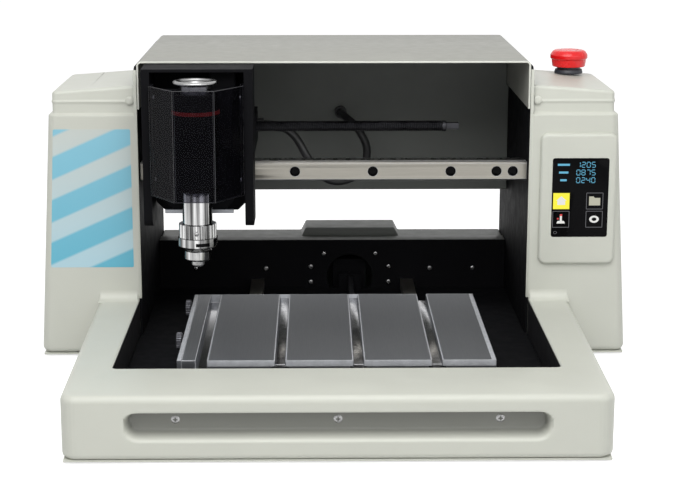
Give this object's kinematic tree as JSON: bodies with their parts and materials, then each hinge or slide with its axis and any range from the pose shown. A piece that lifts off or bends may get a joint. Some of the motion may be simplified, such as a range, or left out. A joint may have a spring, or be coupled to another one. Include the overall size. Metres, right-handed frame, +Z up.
{
  "type": "engraving machine",
  "caption": "Bench-top engraving machine with a sliding slotted table, a cross rail carrying a vertical spindle head, a smoked guard and a touch panel.",
  "frame": {"origin": "middle of the footprint, at the bottom of the rubber feet", "axes": "+X along the cross rail, +Y to the rear, +Z up"},
  "size_m": [0.64, 0.608, 0.324],
  "materials": {
    "housing_plastic": "satin moulded, light warm grey",
    "hood_paint": "powder coat, warm grey",
    "black_steel": "matte black powder coat",
    "olive_steel": "dark olive-grey powder coat",
    "table_metal": "milled, satin anodised",
    "rail_steel": "ground steel",
    "black_screw": "blackened steel",
    "bright_steel": "bright steel",
    "chrome": "polished",
    "rubber": "matte",
    "cable_black": "smooth sheath",
    "smoked_sheet": "smoked acrylic",
    "screen_glass": "gloss black",
    "stop_red": "gloss red",
    "collar_blue": "dark blue grey",
    "band_red": "red band",
    "black_plastic": "matte black",
    "board_green": "circuit board"
  },
  "bodies": {
    "base": {"base_sheet": "black_steel", "rubber_feet": "rubber", "front_bezel": "housing_plastic", "housing_screws": "bright_steel", "left_pod": "housing_plastic", "right_pod": "housing_plastic", "floor_pan": "black_steel", "left_side_plate": "black_steel", "right_side_plate": "black_steel", "rear_wall": "black_steel", "back_panel": "olive_steel", "hood": "hood_paint", "rear_cover": "hood_paint", "lower_rear_casing": "olive_steel", "rear_sockets": "black_plastic", "touch_panel_frame": "housing_plastic", "touch_screen": "screen_glass", "estop_collar": "collar_blue", "x_rail": "rail_steel", "x_rail_caps": "bright_steel", "x_rail_bar": "bright_steel", "drive_motors": "black_steel", "y_rails": "rail_steel", "screw_bearings": "black_steel", "electronics": "board_green", "cable_grommet": "rubber", "head_cable": "cable_black"},
    "x_screw": {"x_leadscrew": "black_screw"},
    "carriage": {"carriage_housing": "black_steel", "carriage_plate": "black_steel", "x_bearing_blocks": "bright_steel", "x_nut_arm": "black_steel", "spindle_guard": "smoked_sheet", "guard_screws": "bright_steel", "z_rail": "rail_steel", "z_motor": "black_steel", "cable_gland": "black_plastic"},
    "z_screw": {"z_leadscrew": "black_screw"},
    "z_head": {"z_block": "bright_steel", "z_plate": "black_steel", "z_plate_strip": "table_metal", "spindle_clamp": "table_metal", "spindle_body": "bright_steel", "spindle_band": "band_red", "spindle_cap": "bright_steel", "spindle_quill": "chrome", "depth_flange": "chrome"},
    "depth_collar": {"depth_collar": "chrome"},
    "spindle_rotor": {"spindle_shaft": "bright_steel", "collet_nut": "chrome", "cutter": "bright_steel"},
    "table": {"table_plate": "table_metal", "table_blocks": "bright_steel"},
    "y_screw": {"y_leadscrew": "black_screw"},
    "jaw": {"clamp_jaw": "table_metal"},
    "thumb_front": {"thumb_screw_front": "bright_steel"},
    "thumb_rear": {"thumb_screw_rear": "bright_steel"},
    "estop_stem": {"estop_stem": "stop_red"},
    "estop_head": {"estop_head": "stop_red"},
    "power_rocker": {"power_switch_rocker": "black_plastic"}
  },
  "joints": [
    {"name": "x_slide", "type": "slide", "parent": "base", "child": "carriage", "axis": [1, 0, 0], "range_m": [0, 0.284], "deforming": ["head_cable"]},
    {"name": "x_screw_turn", "type": "hinge", "parent": "base", "child": "x_screw", "pos_m": [0, 0.089, 0.246], "axis": [1, 0, 0], "range_deg": [0, 12781]},
    {"name": "y_slide", "type": "slide", "parent": "base", "child": "table", "axis": [0, 1, 0], "range_m": [0, 0.18]},
    {"name": "y_screw_turn", "type": "hinge", "parent": "base", "child": "y_screw", "pos_m": [0.021, 0, 0.0394], "axis": [0, 1, 0], "range_deg": [0, 8101]},
    {"name": "z_slide", "type": "slide", "parent": "carriage", "child": "z_head", "axis": [0, 0, 1], "range_m": [-0.05, 0]},
    {"name": "z_screw_turn", "type": "hinge", "parent": "carriage", "child": "z_screw", "pos_m": [-0.116, 0.0115, 0.25], "axis": [0, 0, 1], "range_deg": [-2251, 0]},
    {"name": "depth_collar_turn", "type": "hinge", "parent": "z_head", "child": "depth_collar", "pos_m": [-0.142, -0.037, 0.157], "axis": [0, 0, 1], "range_deg": [-180, 180]},
    {"name": "spindle_spin", "type": "hinge", "parent": "z_head", "child": "spindle_rotor", "pos_m": [-0.142, -0.037, 0.15], "axis": [0, 0, 1], "continuous": true},
    {"name": "jaw_slide", "type": "slide", "parent": "table", "child": "jaw", "axis": [1, 0, 0], "range_m": [0, 0.0085]},
    {"name": "thumb_front_turn", "type": "hinge", "parent": "table", "child": "thumb_front", "pos_m": [-0.156, -0.119, 0.0615], "axis": [1, 0, 0], "continuous": true},
    {"name": "thumb_rear_turn", "type": "hinge", "parent": "table", "child": "thumb_rear", "pos_m": [-0.156, 0.006, 0.0615], "axis": [1, 0, 0], "continuous": true},
    {"name": "estop_push", "type": "slide", "parent": "base", "child": "estop_stem", "axis": [0, 0, -1], "range_m": [0, 0.0025], "stiffness_N_per_m": 3000, "springref_m": -0.001},
    {"name": "estop_twist", "type": "hinge", "parent": "estop_stem", "child": "estop_head", "pos_m": [0.268, 0.16, 0.31], "axis": [0, 0, 1], "range_deg": [-45, 0], "stiffness_Nm_per_rad": 0.2},
    {"name": "power_switch", "type": "hinge", "parent": "base", "child": "power_rocker", "pos_m": [0.0995, 0.298, 0.037], "axis": [1, 0, 0], "range_deg": [-6, 6]}
  ],
  "couplings": [
    {"joint": "x_screw_turn", "follows": "x_slide", "rad_per_m": 785.4},
    {"joint": "y_screw_turn", "follows": "y_slide", "rad_per_m": 785.4},
    {"joint": "z_screw_turn", "follows": "z_slide", "rad_per_m": 785.4}
  ]
}
